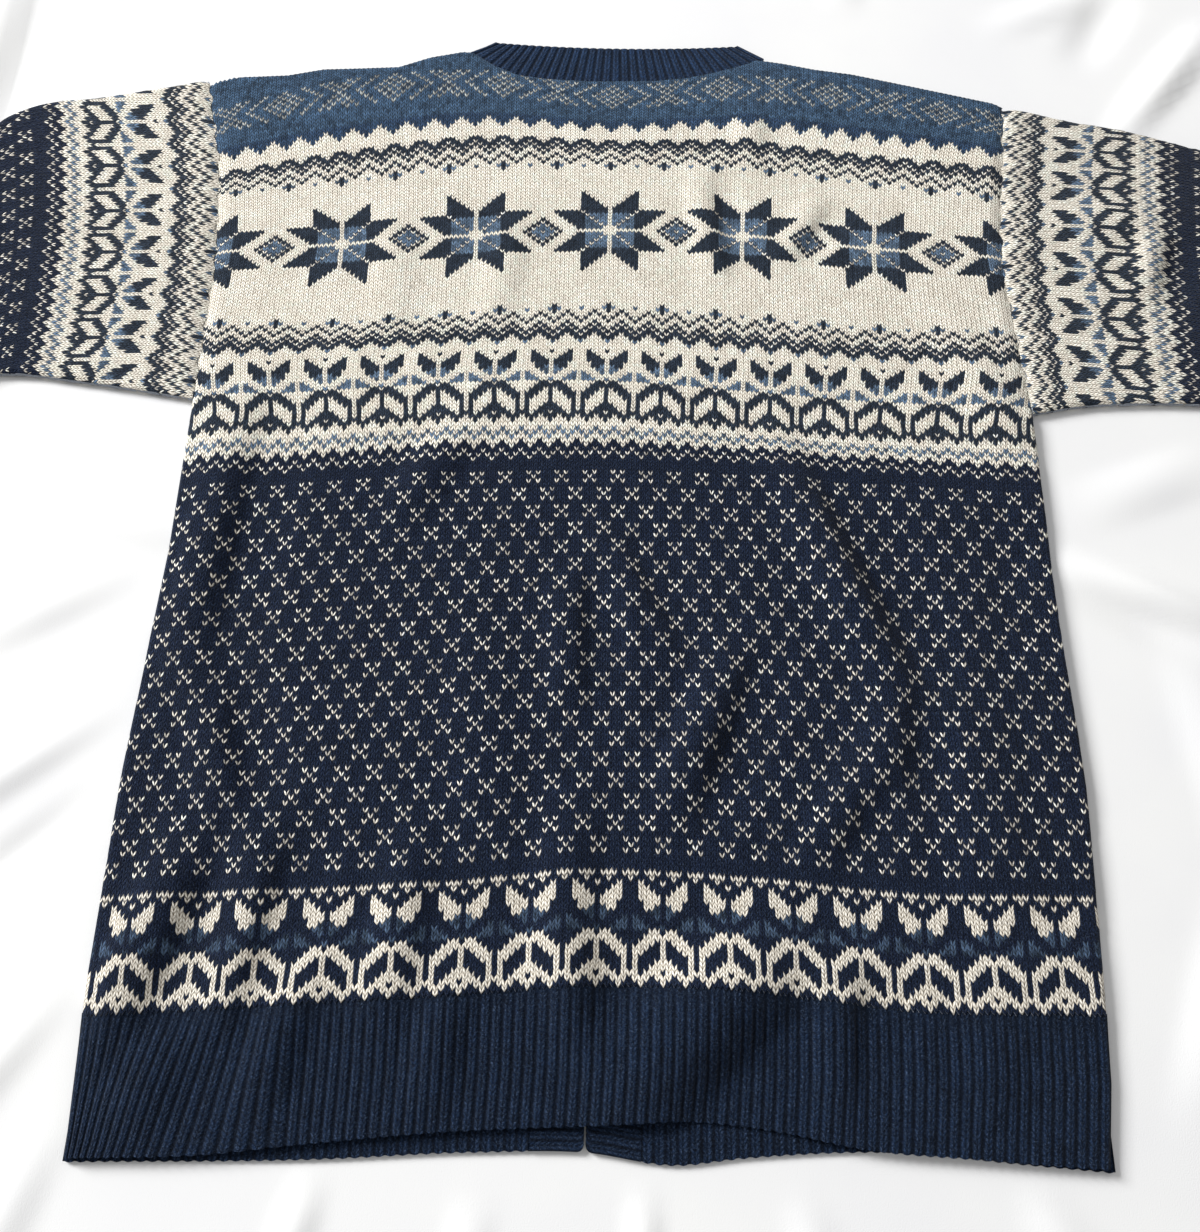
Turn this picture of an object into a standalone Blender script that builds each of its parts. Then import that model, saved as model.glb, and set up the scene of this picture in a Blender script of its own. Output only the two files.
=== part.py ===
"""A stranded-knit cardigan laid face down and flat, with its sleeves out to the sides.

Metres, +Z up. +Y runs from the hem to the neck, and -X is the wearer's left.
The two fronts, their bands and hems lie on the ground as one layer of knitting. The back
lies on them as a second layer. The sleeves and cuffs are flattened tubes. The neckband is one
strip that folds over at the shoulders, from the front layer to the back layer.
"""
from math import asin, cos, pi, radians, sin

import bmesh
import bpy
from mathutils import Matrix, Vector

# Driving sizes
WALL = 0.003             # thickness of one layer of knitting
GAP = 0.0003             # clearance at seams and between layers
LOWER = (0.0, WALL)                               # heights of the front layer
UPPER = (WALL + GAP, 2 * WALL + GAP)              # heights of the back layer
EDGE_EASE = 0.0013       # how far a folded edge rounds away
EDGE_WIDTH = 0.004       # how wide that rounding is

UNDERARM = 0.450
ARMHOLE_CORNER = 0.560   # height of the corner in both armholes

# Outline of the body as it lies: how far its left and right edges are from the middle wale
BODY = (
    # height,  left,   right
    (0.000, -0.2710, 0.2700),
    (0.040, -0.2730, 0.2760),
    (0.085, -0.2755, 0.2790),
    (0.200, -0.2760, 0.2840),
    (0.340, -0.2710, 0.2810),
    (UNDERARM, -0.2720, 0.2810),
    (ARMHOLE_CORNER, -0.2728, 0.2735),
    (0.714, -0.2985, 0.2880),
    (0.726, -0.3005, 0.2880),
)

# Courses of the back: a course is a row of knitting, and each sags towards the side edges
COURSES = (
    # left,   middle, right
    (0.0640, 0.0850, 0.0740),   # rib joins the back
    (0.1270, 0.1470, 0.1380),   # border of leaves
    (0.2030, 0.2240, 0.2150),
    (0.2900, 0.3120, 0.3030),
    (0.3900, 0.4120, 0.4020),   # cream bands begin
    (0.4500, 0.4700, 0.4500),   # underarm
    (0.5100, 0.5310, 0.5150),
    (0.5600, 0.5920, 0.5600),   # medallions
    (0.6380, 0.6670, 0.6520),   # blue yoke begins
)

# Shoulder edge from the sleeve to the neckband, on each side
SHOULDER_LEFT = (
    # across,  height
    (-0.3005, 0.7260),
    (-0.2500, 0.7330),
    (-0.2050, 0.7410),
    (-0.1600, 0.7450),
    (-0.1070, 0.7500),
)
SHOULDER_RIGHT = (
    # across,  height
    (0.1120, 0.7510),
    (0.1330, 0.7500),
    (0.1780, 0.7430),
    (0.2220, 0.7320),
    (0.2880, 0.7140),
)

# Neck: the back seam sags a little between the shoulder edges, the front seam is deep and round
NECK_LEFT = Vector((-0.107, 0.750))
NECK_RIGHT = Vector((0.112, 0.751))
NECK_MIDDLE = (NECK_LEFT.x + NECK_RIGHT.x) / 2
BACK_NECK_DROP = 0.0200
FRONT_NECK_DROP = 0.0870
NECKBAND_TOP_LEFT = Vector((-0.095, 0.7630))
NECKBAND_TOP_RIGHT = Vector((0.100, 0.7640))
NECKBAND_BACK_RISE = 0.0020
NECKBAND_FRONT_DROP = 0.0700

# Front edges: two bands that meet edge to edge
SLIT = -0.0016           # where the bands meet
SLIT_GAP = 0.0020
BAND_WIDTH = 0.0285
BAND_CORNER = 0.006      # rounding of a band's lower corner

FRONT_RIB_TOP = 0.0700
FRONT_HEM = (
    # across,  height
    (-0.2710, -0.0090),
    (-0.1400, -0.0050),
    (-0.0600, 0.0000),
    (0.0000, 0.0010),
    (0.0450, -0.0040),
    (0.0800, 0.0000),
    (0.1500, 0.0030),
    (0.2100, 0.0000),
    (0.2700, -0.0030),
)
BACK_HEM = (
    # across,  height
    (-0.2710, -0.0070),
    (-0.2000, -0.0040),
    (-0.1490, 0.0020),
    (-0.0800, 0.0090),
    (0.0270, 0.0155),
    (0.0480, 0.0170),
    (0.1030, 0.0130),
    (0.1450, 0.0060),
    (0.2100, 0.0020),
    (0.2700, -0.0010),
)

# Sleeves: each row is one line across the flattened tube, from its upper to its lower edge
SLEEVE_LEFT = (
    # upper x, upper y, lower x, lower y
    (-0.3005, 0.7260, -0.2720, 0.4500),
    (-0.3370, 0.7170, -0.3080, 0.4560),
    (-0.3800, 0.7070, -0.3500, 0.4620),
    (-0.4230, 0.6990, -0.3920, 0.4670),
    (-0.4400, 0.6900, -0.4040, 0.4665),
    (-0.4620, 0.6670, -0.4120, 0.4640),
    (-0.5020, 0.6370, -0.4200, 0.4600),
)
SLEEVE_RIGHT = (
    # upper x, upper y, lower x, lower y
    (0.2880, 0.7140, 0.2810, 0.4500),
    (0.3300, 0.7010, 0.3150, 0.4570),
    (0.3730, 0.6920, 0.3560, 0.4600),
    (0.4140, 0.6790, 0.3950, 0.4600),
    (0.4450, 0.6680, 0.4130, 0.4590),
    (0.4870, 0.6420, 0.4230, 0.4560),
)
ARMHOLE_ROWS = 3         # rows over which the sleeve loses the curve of the armhole

# Below the elbow both sleeves run straight, this far below the line of the shoulders
BEND_LEFT = 42           # degrees
BEND_RIGHT = 33          # degrees
ELBOW_LEFT = Vector((-0.4936, 0.5256))
ELBOW_RIGHT = Vector((0.480, 0.535))
FOREARM = (
    # from elbow, width
    (0.000, 0.190),
    (0.070, 0.170),
    (0.140, 0.150),
    (0.198, 0.136),
    (0.212, 0.106),
)
CUFF = (
    # from elbow, width
    (0.2123, 0.104),
    (0.2200, 0.100),
    (0.2500, 0.100),
    (0.2780, 0.106),
)

# Largest folds of the back layer and of the sleeves: soft ridges that lift off the layer below
FOLDS = (
    # x,      y,    heading, length, width, lift
    (-0.010, 0.110, 84.0, 0.150, 0.030, 0.0030),
    (0.078, 0.075, 62.0, 0.120, 0.026, 0.0032),
    (0.020, 0.330, 88.0, 0.230, 0.040, 0.0030),
    (0.105, 0.300, 97.0, 0.200, 0.030, 0.0022),
    (-0.150, 0.250, 80.0, 0.240, 0.045, 0.0022),
    (0.200, 0.240, 95.0, 0.260, 0.040, 0.0025),
    (-0.225, 0.480, 70.0, 0.160, 0.026, 0.0026),
    (0.225, 0.490, 112.0, 0.150, 0.026, 0.0026),
    (-0.030, 0.560, 90.0, 0.130, 0.045, 0.0018),
    (-0.360, 0.640, 350.0, 0.090, 0.026, 0.0026),
    (-0.450, 0.560, 60.0, 0.090, 0.020, 0.0032),
    (0.370, 0.610, 190.0, 0.090, 0.026, 0.0026),
    (0.460, 0.560, 120.0, 0.090, 0.020, 0.0032),
)
LARGEST_HOLLOW = 0.0035  # folds never stand further off the layer below

NAVY = (0.014, 0.022, 0.052)         # ribs
NAVY_AND_CREAM = (0.150, 0.155, 0.175)   # stranded pieces, their yarns mixed
WOOL_ROUGHNESS = 0.93


for leftover in list(bpy.data.objects):
    bpy.data.objects.remove(leftover)


def between(a, b, share):
    return a + (b - a) * share


def read(table, key, column):
    """The value of one column of a table at a key between its rows."""
    rows = sorted(table)
    if key <= rows[0][0]:
        return rows[0][column]
    for low, high in zip(rows, rows[1:]):
        if key <= high[0]:
            return between(low[column], high[column], (key - low[0]) / (high[0] - low[0]))
    return rows[-1][column]


def lift(x, y):
    """How far the folds raise the upper layer at a point."""
    total = 0.0
    for fold_x, fold_y, heading, length, width, height in FOLDS:
        along = (x - fold_x) * cos(radians(heading)) + (y - fold_y) * sin(radians(heading))
        aside = (y - fold_y) * cos(radians(heading)) - (x - fold_x) * sin(radians(heading))
        reach = 1 - (2 * along / length) ** 2
        spread = 1 - (2 * aside / (2 * width)) ** 2
        if reach > 0 and spread > 0:
            total += height * reach ** 2 * spread ** 2
    return min(total, LARGEST_HOLLOW)


def wool(name, colour):
    material = bpy.data.materials.new(name)
    material.use_nodes = True
    shader = material.node_tree.nodes["Principled BSDF"]
    shader.inputs["Base Color"].default_value = (*colour, 1)
    shader.inputs["Roughness"].default_value = WOOL_ROUGHNESS
    shader.inputs["Metallic"].default_value = 0
    return material


def finish(name, bm, colour):
    """Turns a bmesh into a named object with its own material."""
    bmesh.ops.recalc_face_normals(bm, faces=bm.faces)
    mesh = bpy.data.meshes.new(name)
    bm.to_mesh(mesh)
    bm.free()
    mesh.shade_smooth()
    mesh.set_sharp_from_angle(angle=radians(50))
    mesh.materials.append(wool(name, colour))
    part = bpy.data.objects.new(name, mesh)
    bpy.context.scene.collection.objects.link(part)
    return part


def spread(start, end, count):
    return [between(start, end, k / (count - 1)) for k in range(count)]


def slab(name, colour, columns, rows, place, heights):
    """A wall of cloth. place(u, v) gives a point in plan, heights(u, v, x, y) its two faces."""
    bm = bmesh.new()
    bmesh.ops.create_grid(bm, x_segments=len(columns) - 1, y_segments=len(rows) - 1, size=0.5)
    bm.verts.ensure_lookup_table()
    lower_side = list(bm.verts)
    tops = {}
    for index, vertex in enumerate(lower_side):
        u = columns[index % len(columns)]
        v = rows[index // len(columns)]
        x, y = place(u, v)
        low, high = heights(u, v, x, y)
        vertex.co = (x, y, low)
        tops[vertex.co.to_tuple(7)] = high
    extruded = bmesh.ops.extrude_face_region(bm, geom=bm.faces[:])
    for vertex in extruded["geom"]:
        if isinstance(vertex, bmesh.types.BMVert):
            vertex.co.z = tops[vertex.co.to_tuple(7)]
    return finish(name, bm, colour)


def lower_heights(u, v, x, y):
    """Faces of the front layer, whose side edge, at u = 0, rounds up off the ground."""
    eased = EDGE_EASE if u == 0 and y < UNDERARM else 0
    return LOWER[0] + eased, LOWER[1]


def flat_heights(u, v, x, y):
    return LOWER


def upper_heights(u, v, x, y):
    """Faces of the back layer, raised by the folds and rounded down at both side edges."""
    at_edge = u in (0, 1)
    raised = 0 if at_edge else lift(x, y)
    eased = EDGE_EASE if at_edge and y < UNDERARM else 0
    return UPPER[0] + raised, UPPER[1] + raised - eased


def side(y, column):
    return read(BODY, y, column)


def shoulder(x):
    return read(SHOULDER_LEFT, x, 1) if x < NECK_MIDDLE else read(SHOULDER_RIGHT, x, 1)


def back_neck(share):
    """Point of the back neck seam, share 0 at the left shoulder and 1 at the right."""
    point = NECK_LEFT.lerp(NECK_RIGHT, share)
    return Vector((point.x, point.y - BACK_NECK_DROP * 4 * share * (1 - share)))


def front_neck(turn, right):
    """Point of the front neck seam, turn 0 at the middle and 90 degrees at the shoulder."""
    end = NECK_RIGHT if right else NECK_LEFT
    return Vector((NECK_MIDDLE + (end.x - NECK_MIDDLE) * sin(turn), end.y - FRONT_NECK_DROP * cos(turn)))


def course(row, u):
    """Height of a course of the back at share u of its width."""
    left, middle, right = row
    straight = between(left, right, u)
    return straight + (middle - (left + right) / 2) * 4 * u * (1 - u)


# The back: a grid of wales and courses, with the shoulder and neck seam as its last course
TOP_LEFT = BODY[-1][1]
TOP_RIGHT = BODY[-1][2]
TOP_WIDTH = TOP_RIGHT - TOP_LEFT
EDGE_SHARE = EDGE_WIDTH / TOP_WIDTH
NECK_STEPS = 9
neck_left_share = (NECK_LEFT.x - TOP_LEFT) / TOP_WIDTH
neck_right_share = (NECK_RIGHT.x - TOP_LEFT) / TOP_WIDTH
across_back = (
    [0, EDGE_SHARE]
    + spread(0.05, neck_left_share, 8)
    + spread(neck_left_share, neck_right_share, NECK_STEPS)[1:]
    + spread(neck_right_share, 0.95, 8)[1:]
    + [1 - EDGE_SHARE, 1]
)
up_back = [k / 3 for k in range(3 * len(COURSES) + 1)]


def back_top(u):
    x = between(TOP_LEFT, TOP_RIGHT, u)
    if neck_left_share < u < neck_right_share:
        return back_neck((u - neck_left_share) / (neck_right_share - neck_left_share)).y - GAP
    return shoulder(x)


def back_place(u, v):
    """v counts the rows of COURSES, and the shoulder line follows them."""
    lines = [course(row, u) for row in COURSES] + [back_top(u)]
    lines[0] += GAP
    below = min(int(v), len(COURSES) - 1)
    y = between(lines[below], lines[below + 1], v - below)
    return between(side(y, 1), side(y, 2), u), y


slab("back", NAVY_AND_CREAM, across_back, up_back, back_place, upper_heights)


# The rib hem of the back
def hem_back_place(u, v):
    top = course(COURSES[0], u)
    bottom = read(BACK_HEM, between(BODY[0][1], BODY[0][2], u), 1)
    y = between(bottom, top, v)
    return between(side(y, 1), side(y, 2), u), y


slab("hem_back", NAVY, across_back, spread(0, 1, 4), hem_back_place, upper_heights)


# The fronts, from the side seam at u = 0 to the band at u = 1, and their rib hems
FRONT_LEVELS = (FRONT_RIB_TOP + GAP, 0.200, 0.340, UNDERARM, ARMHOLE_CORNER, 0.638)
NECK_TURNS = [radians(angle) for angle in (90, 70, 52, 36)]


def front_pieces(name, right):
    sign = 1 if right else -1
    column = 2 if right else 1
    top_edge = TOP_RIGHT if right else TOP_LEFT
    neck_end = NECK_RIGHT if right else NECK_LEFT
    band_outer = SLIT + sign * (SLIT_GAP / 2 + BAND_WIDTH)
    band_inner = SLIT + sign * SLIT_GAP / 2
    neck_half = abs(neck_end.x - NECK_MIDDLE)
    outer_turn = turn_at(band_outer, right)
    inner_turn = turn_at(band_inner, right)
    panel_edge = band_outer + sign * GAP

    # Columns meet the neck seam at the same turns as the neckband does
    neck_tops = {}
    for turn in NECK_TURNS[1:] + [turn_at(panel_edge, right, GAP)]:
        x = NECK_MIDDLE + sign * (neck_half + GAP) * sin(turn)
        y = neck_end.y - (FRONT_NECK_DROP + GAP) * cos(turn)
        neck_tops[(x - side(y, column)) / (panel_edge - side(y, column))] = y
    corner_share = (neck_end.x + sign * GAP - top_edge) / (panel_edge - top_edge)
    across = [0, EDGE_WIDTH / abs(panel_edge - top_edge)] + spread(0.12, corner_share, 4) + list(neck_tops)
    levels = len(FRONT_LEVELS)

    def top(u):
        return neck_tops.get(u) or shoulder(between(top_edge, panel_edge, u)) - GAP

    def panel_place(u, v):
        lines = list(FRONT_LEVELS) + [top(u)]
        below = min(int(v), levels - 1)
        y = between(lines[below], lines[below + 1], v - below)
        return between(side(y, column), panel_edge, u), y

    def hem_place(u, v):
        x_low = between(BODY[0][column], panel_edge, u)
        y = between(read(FRONT_HEM, x_low, 1), FRONT_RIB_TOP, v)
        return between(side(y, column), panel_edge, u), y

    slab("front_" + name, NAVY_AND_CREAM, across, [k / 2 for k in range(2 * levels + 1)], panel_place, lower_heights)
    slab("hem_front_" + name, NAVY, across, spread(0, 1, 3), hem_place, lower_heights)

    # The band runs from the neckband to the hem, and its lower corner at the slit is round
    corner_raise = {0: 0, 0.45: 0, 0.79: 0, 0.93: 0.3 * BAND_CORNER, 1: BAND_CORNER}
    seam_outer = front_neck(outer_turn, right).y
    seam_inner = front_neck(inner_turn, right).y

    def band_place(u, v):
        x = between(band_outer, band_inner, u)
        bottom = read(FRONT_HEM, x, 1) + corner_raise[u]
        return x, between(bottom, between(seam_outer, seam_inner, u) - GAP, v)

    slab("band_" + name, NAVY, list(corner_raise), spread(0, 1, 9), band_place, flat_heights)
    return NECK_TURNS + [outer_turn, inner_turn]


def turn_at(x, right, grown=0):
    """The turn at which the front neck seam, grown outwards a little, crosses x."""
    end = NECK_RIGHT if right else NECK_LEFT
    reach = (end.x - NECK_MIDDLE) * (1 + grown / abs(end.x - NECK_MIDDLE))
    return asin((x - NECK_MIDDLE) / reach)


turns_left = front_pieces("left", False)
turns_right = front_pieces("right", True)


# The neckband: sections along one strip, from the slit round the back of the neck to the slit
def neckband_front(turn, right):
    """Seam and free edge of the strip where it lies in the front layer."""
    top = NECKBAND_TOP_RIGHT if right else NECKBAND_TOP_LEFT
    free = Vector((NECK_MIDDLE + (top.x - NECK_MIDDLE) * sin(turn), top.y - NECKBAND_FRONT_DROP * cos(turn)))
    return front_neck(turn, right), free


def flat_section(seam, free, layer):
    return [(*seam, layer[0]), (*seam, layer[1]), (*free, layer[1]), (*free, layer[0])]


def fold_section(seam, free, outward, angle):
    """A section on the turn from the front layer to the back layer."""
    ring = []
    for point, radius in ((seam, WALL + GAP / 2), (seam, GAP / 2), (free, GAP / 2), (free, WALL + GAP / 2)):
        x, y = point + outward * radius * cos(angle)
        ring.append((x, y, WALL + GAP / 2 + radius * sin(angle)))
    return ring


FOLD_ANGLES = [radians(angle) for angle in (-50, 0, 50)]
sections = []
for turn in reversed(turns_left):
    sections.append(flat_section(*neckband_front(turn, False), LOWER))
seam, free = neckband_front(pi / 2, False)
outward = Vector((seam.y - free.y, free.x - seam.x)).normalized()
sections += [fold_section(seam, free, outward, angle) for angle in FOLD_ANGLES]
for share in spread(0, 1, NECK_STEPS):
    free = NECKBAND_TOP_LEFT.lerp(NECKBAND_TOP_RIGHT, share)
    free.y += NECKBAND_BACK_RISE * 4 * share * (1 - share)
    low_seam, high_seam, high_free, low_free = flat_section(back_neck(share), free, UPPER)
    sections.append([high_seam, low_seam, low_free, high_free])
seam, free = neckband_front(pi / 2, True)
outward = Vector((free.y - seam.y, seam.x - free.x)).normalized()
sections += [fold_section(seam, free, outward, angle) for angle in reversed(FOLD_ANGLES)]
for turn in turns_right:
    sections.append(flat_section(*neckband_front(turn, True), LOWER))


def skin(bm, near, far):
    """Faces between two rings of the same number of points."""
    for k in range(len(near)):
        after = (k + 1) % len(near)
        bm.faces.new((near[k], near[after], far[after], far[k]))


def rings_of(bm, sections):
    return [[bm.verts.new(point) for point in section] for section in sections]


def strip(name, colour, sections):
    """A solid through its sections, closed at both ends."""
    bm = bmesh.new()
    rings = rings_of(bm, sections)
    for near, far in zip(rings, rings[1:]):
        skin(bm, near, far)
    bm.faces.new(rings[0])
    bm.faces.new(rings[-1])
    return finish(name, bm, colour)


strip("neckband", NAVY, sections)


# Sleeves and cuffs: flattened tubes, open at both ends
TUBE_HALF = WALL + GAP / 2     # the flattened tube's outer half thickness, and its edge radius
EDGE_ANGLES = [radians(angle) for angle in (-90, -30, 30, 90)]


def tube_ring(lower, upper, stations, bow, radius):
    """Points round a flattened tube, whose edges turn on circles about the same two centres."""
    way = (upper - lower).normalized()
    first = lower + way * TUBE_HALF
    last = upper - way * TUBE_HALF
    middle = [first.lerp(last, share) + bow(share) for share in stations]
    points = [(*point, TUBE_HALF - radius) for point in middle]
    for angle in EDGE_ANGLES[1:-1]:
        points.append((*(middle[-1] + way * radius * cos(angle)), TUBE_HALF + radius * sin(angle)))
    for share, point in zip(reversed(stations), reversed(middle)):
        raised = lift(*point) * min(1, 6 * share, 6 * (1 - share))
        points.append((*point, TUBE_HALF + radius + raised))
    for angle in reversed(EDGE_ANGLES[1:-1]):
        points.append((*(middle[0] - way * radius * cos(angle)), TUBE_HALF + radius * sin(angle)))
    return points


def tube(name, colour, lines, stations):
    """A tube of cloth through lines that run from its lower to its upper edge."""
    bm = bmesh.new()
    outer = rings_of(bm, [tube_ring(*line[:2], stations, line[2], TUBE_HALF) for line in lines])
    inner = rings_of(bm, [tube_ring(*line[:2], stations, line[2], GAP / 2) for line in lines])
    for rings in (outer, inner):
        for near, far in zip(rings, rings[1:]):
            skin(bm, near, far)
    for end in (0, -1):
        skin(bm, outer[end], inner[end])
    return finish(name, bm, colour)


def no_bow(share):
    return Vector((0, 0))


def arm_lines(rows, elbow, bend, sign):
    """Lines across the arm below the elbow, from the table of distances and widths."""
    onward = Vector((sign * cos(radians(bend)), -sin(radians(bend))))
    upwards = Vector((sign * sin(radians(bend)), cos(radians(bend))))
    lines = []
    for distance, width in rows:
        middle = elbow + onward * distance
        lines.append((middle - upwards * width / 2, middle + upwards * width / 2, no_bow))
    return lines


def sleeve_and_cuff(name, table, elbow, bend, column, sign):
    lower = Vector(table[0][2:])
    upper = Vector(table[0][:2])
    corner = (ARMHOLE_CORNER - lower.y) / (upper.y - lower.y)

    def armhole_bow(strength):
        def bow(share):
            y = between(lower.y, upper.y, share)
            return Vector((side(y, column) - between(lower.x, upper.x, share), 0)) * strength
        return bow

    lines = []
    for k, (upper_x, upper_y, lower_x, lower_y) in enumerate(table):
        clear = Vector((sign * GAP, 0)) if k == 0 else Vector((0, 0))
        bow = armhole_bow(max(0, 1 - k / ARMHOLE_ROWS) ** 2)
        lines.append((Vector((lower_x, lower_y)) + clear, Vector((upper_x, upper_y)) + clear, bow))
    stations = spread(0, corner, 4) + spread(corner, 1, 5)[1:]
    tube("sleeve_" + name, NAVY_AND_CREAM, lines + arm_lines(FOREARM, elbow, bend, sign), stations)
    tube("cuff_" + name, NAVY, arm_lines(CUFF, elbow, bend, sign), spread(0, 1, 6))


sleeve_and_cuff("left", SLEEVE_LEFT, ELBOW_LEFT, BEND_LEFT, 1, -1)
sleeve_and_cuff("right", SLEEVE_RIGHT, ELBOW_RIGHT, BEND_RIGHT, 2, 1)


# The garment's own box is centred over the origin, and its underside is the ground
points = [vertex.co for part in bpy.data.objects for vertex in part.data.vertices]
middle_x = (min(point.x for point in points) + max(point.x for point in points)) / 2
middle_y = (min(point.y for point in points) + max(point.y for point in points)) / 2
for part in bpy.data.objects:
    part.data.transform(Matrix.Translation((-middle_x, -middle_y, 0)))
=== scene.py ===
"""Looks of the nordic cardigan: a wool cardigan lying face down, seen from above, a little from its hem."""

import math

import bmesh
import bpy
import numpy as np
from mathutils import Matrix, Vector


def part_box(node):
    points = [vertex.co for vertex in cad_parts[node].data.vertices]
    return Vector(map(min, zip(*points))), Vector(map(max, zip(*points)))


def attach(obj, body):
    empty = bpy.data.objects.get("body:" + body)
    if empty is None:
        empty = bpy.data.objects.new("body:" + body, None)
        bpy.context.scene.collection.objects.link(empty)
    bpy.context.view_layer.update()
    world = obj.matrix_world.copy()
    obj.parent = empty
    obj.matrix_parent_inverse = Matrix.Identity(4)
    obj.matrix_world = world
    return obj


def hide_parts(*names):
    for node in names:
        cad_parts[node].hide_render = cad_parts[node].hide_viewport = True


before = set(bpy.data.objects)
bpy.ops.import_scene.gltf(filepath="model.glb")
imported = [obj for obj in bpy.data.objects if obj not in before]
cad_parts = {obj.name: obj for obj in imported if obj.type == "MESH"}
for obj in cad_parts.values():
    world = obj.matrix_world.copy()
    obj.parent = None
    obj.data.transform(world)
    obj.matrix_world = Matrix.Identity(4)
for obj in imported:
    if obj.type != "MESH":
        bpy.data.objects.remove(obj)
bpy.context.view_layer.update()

# Sizes below are in mm, measured from the middle wale of the back and from the hem. These two are
# in metres: the slit lies 1.6 mm beside the middle wale, and the front hems dip 9 mm below the zero
MIDDLE = (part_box("band_left")[1].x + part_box("band_right")[0].x) / 2 + 0.0016
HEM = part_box("hem_front_left")[0].y + 0.009
LAYER = 1000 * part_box("band_left")[1].z                # thickness of one layer of knitting
UPPER_LOW = 1000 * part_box("hem_back")[0].z             # underside of the upper layer
UPPER_HIGH = UPPER_LOW + LAYER


# ---------------------------------------------------------------------------------------------
# Back: one panel of stranded knitting, two colours of wool in each row, chest to shoulders.
# The sleeves are sewn in at its sides, the rib hem is knitted on below it.
# ---------------------------------------------------------------------------------------------

def soft(keys, values, at):
    """A soft curve through a table. It runs straight on past both ends."""
    keys, values, at = np.asarray(keys, float), np.asarray(values, float), np.asarray(at, float)
    slopes = np.gradient(values, keys)
    held = np.clip(at, keys[0], keys[-1])
    low = np.clip(np.searchsorted(keys, held) - 1, 0, len(keys) - 2)
    span = keys[low + 1] - keys[low]
    t = (held - keys[low]) / span
    rise = values[low + 1] - values[low]
    curve = (values[low] + t * t * (3 - 2 * t) * rise
             + span * t * (1 - t) * ((1 - t) * slopes[low] - t * slopes[low + 1]))
    return curve + (at - held) * slopes[np.where(at < held, 0, len(keys) - 1)]


# Courses, counted up from the rib: how high each lies at seven places across the back
ACROSS = (-270, -180, -90, 0, 90, 180, 270)
COURSES = {
    -0.5: (63.8, 70.0, 76.9, 84.3, 82.7, 74.9, 74.9),
    22: (124.8, 130.4, 136.3, 145.1, 142.5, 135.6, 135.9),
    27: (140.5, 146.3, 152.3, 161.1, 158.5, 151.7, 151.9),
    103: (378.5, 386.0, 394.0, 397.5, 396.0, 391.5, 387.0),
    109: (395.0, 402.5, 410.5, 414.5, 412.5, 408.0, 403.5),
    117: (421.0, 429.0, 436.4, 438.8, 433.5, 428.0, 426.0),
    127: (450.0, 456.8, 465.0, 467.6, 461.9, 455.3, 453.5),
    137: (474.0, 481.8, 488.9, 492.0, 486.3, 480.8, 477.5),
    151: (510.9, 513.1, 523.4, 530.0, 524.6, 516.2, 515.5),
    174: (568.0, 577.0, 586.3, 592.5, 590.2, 580.9, 574.9),
    194: (616.4, 629.4, 644.7, 647.5, 646.3, 635.1, 623.3),
    204: (637.1, 658.5, 674.3, 672.5, 674.0, 662.5, 653.5),
    210: (655.6, 678.0, 692.9, 688.0, 693.6, 684.0, 669.5),
    221: (685.0, 716.5, 727.5, 714.5, 726.0, 714.5, 692.0),
    239: (732.0, 763.5, 774.5, 761.5, 773.0, 761.5, 739.0),
}
# How far the wales stray sideways at the same seven places, at some heights
DRIFT = {
    0: (0.5, -4.6, -1.6, 0.2, 0.4, -0.4, 0.2),
    92: (-0.5, -4.6, -1.4, 0.3, 0.6, -0.5, 0.0),
    213: (-1.0, -3.5, -1.2, 1.2, 0.9, -0.6, -1.2),
    290: (0.0, 0.0, 1.8, 1.8, -1.2, -4.3, -4.9),
    335: (1.5, 1.9, 2.2, 1.2, -1.6, -5.0, -5.4),
    400: (2.0, 2.0, 1.2, 0.0, -1.6, -3.6, -4.0),
    465: (0.0, 0.0, 0.7, 0.7, -2.0, -3.7, 0.0),
    520: (0.0, 2.0, 2.4, 1.2, -1.2, -2.8, 1.8),
    588: (0.0, 0.0, 0.7, 1.0, 0.7, -1.0, 2.0),
    668: (0.0, -0.7, 0.2, 0.0, -1.0, -3.0, 0.0),
    720: (0.0, 0.0, 0.0, 0.0, 0.0, 0.0, 0.0),
}
ROWS = 236
BACK_WALES = 93       # to each side of the middle one
USUAL_WALE = 3.1      # about how wide a wale is
# At some heights: how wide the wales are there, and how far aside the middle one lies
WALE_WIDTH = ((85, 440, 480, 580, 640, 700, 750), (3.03, 3.05, 3.13, 3.10, 3.20, 3.36, 3.40))
WALE_SHIFT = ((85, 350, 590, 715), (1.9, 0.5, -0.3, 0.5))
# Side edges of the back: height, left edge, right edge
SIDES = (
    (0, 40, 85, 200, 340, 450, 560, 602, 641, 659, 693, 714, 726),
    (-271.0, -273.0, -275.5, -276.0, -271.0, -272.0, -272.8, -277.1, -281.2, -285.2, -293.3, -298.5,
     -300.5),
    (270.0, 276.0, 279.0, 284.0, 281.0, 281.0, 273.5, 275.6, 280.4, 282.8, 286.6, 288.5, 288.5),
)
# Upper edge of the back along the shoulders and the neck: how far across, how high
BACK_TOP = (
    (-300.5, -269, -242, -216, -189, -160, -137, -113, -106, -101, -88, -70, -51, -16,
     32, 56, 79, 99, 108, 127, 151, 178, 222, 288),
    (727, 728.5, 730.5, 737, 738.5, 740.5, 750.5, 756.5, 756, 753, 743, 734.5, 731.5, 729.5,
     731, 734.5, 741, 748.5, 753, 750, 744.5, 740.5, 729.5, 712.5),
)
SEAM_START = 470      # the armhole seams waver above this height


def smooth_sides(y):
    """Left and right edge of the back at height y."""
    return np.interp(y, SIDES[0], SIDES[1]), np.interp(y, SIDES[0], SIDES[2])


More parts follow.
